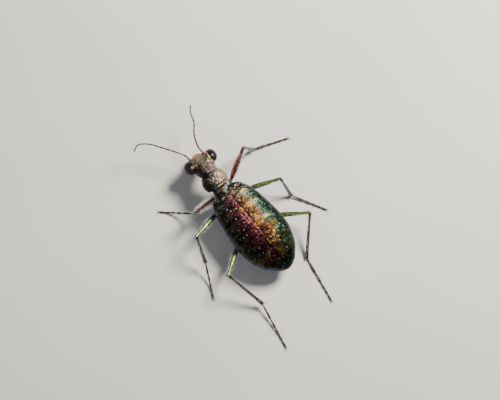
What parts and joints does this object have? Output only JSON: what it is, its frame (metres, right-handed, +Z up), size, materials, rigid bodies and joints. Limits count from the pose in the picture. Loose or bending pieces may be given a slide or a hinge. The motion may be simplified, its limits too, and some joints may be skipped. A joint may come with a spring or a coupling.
{
  "type": "tiger beetle",
  "caption": "Life-size still model of a standing tiger beetle with bulging eyes, curved jaws, slender bristly legs, curved feelers and dark bronze pitted wing cases.",
  "frame": {"origin": "on the ground, under the middle of the model's box", "axes": "+Y is the way the head faces and the long axis, +X is the animal's right, +Z is up"},
  "size_m": [0.018, 0.0274, 0.0057],
  "materials": {
    "wing_case_shell": "dark bronze chitin with a coppery and violet sheen, finely wrinkled, with scattered green pits",
    "head_shell": "pinkish copper chitin, finely wrinkled, green in the hollows",
    "underside_shell": "dark blue-green chitin, smooth, with white hairs at the sides",
    "thigh_red_copper": "red copper chitin with rows of white bristles",
    "thigh_green_copper": "green and copper chitin with rows of white bristles",
    "leg_dark": "dark brown chitin with a weak metallic gloss, bristly",
    "feeler_copper": "copper and green metallic chitin",
    "feeler_dark": "dull dark brown, covered in very short down",
    "eye": "glossy dark brown with fine facets",
    "lip": "tan, smooth, with a darker front edge",
    "jaw": "dark brown horn with a pale base, glossy"
  },
  "bodies": {
    "root": {"elytron_left": "wing_case_shell", "elytron_right": "wing_case_shell", "head": "head_shell", "prothorax": "head_shell", "scutellum": "head_shell", "thorax_underside": "underside_shell", "abdomen": "underside_shell", "coxa_front_left": "underside_shell", "coxa_front_right": "underside_shell", "coxa_middle_left": "underside_shell", "coxa_middle_right": "underside_shell", "coxa_hind_left": "underside_shell", "coxa_hind_right": "underside_shell", "femur_front_left": "thigh_red_copper", "femur_front_right": "thigh_red_copper", "femur_middle_left": "thigh_green_copper", "femur_middle_right": "thigh_green_copper", "femur_hind_left": "thigh_green_copper", "femur_hind_right": "thigh_green_copper", "tibia_front_left": "leg_dark", "tibia_front_right": "leg_dark", "tibia_middle_left": "leg_dark", "tibia_middle_right": "leg_dark", "tibia_hind_left": "leg_dark", "tibia_hind_right": "leg_dark", "tarsus_front_left": "leg_dark", "tarsus_front_right": "leg_dark", "tarsus_middle_left": "leg_dark", "tarsus_middle_right": "leg_dark", "tarsus_hind_left": "leg_dark", "tarsus_hind_right": "leg_dark", "antenna_left_scape": "feeler_copper", "antenna_left_stem": "feeler_copper", "antenna_right_scape": "feeler_copper", "antenna_right_stem": "feeler_copper", "antenna_left_flagellum": "feeler_dark", "antenna_right_flagellum": "feeler_dark", "eye_left": "eye", "eye_right": "eye", "labrum": "lip", "mandible_left": "jaw", "mandible_right": "jaw", "maxillary_palp_left": "jaw", "maxillary_palp_right": "jaw", "labial_palp_left": "jaw", "labial_palp_right": "jaw"}
  },
  "joints": []
}
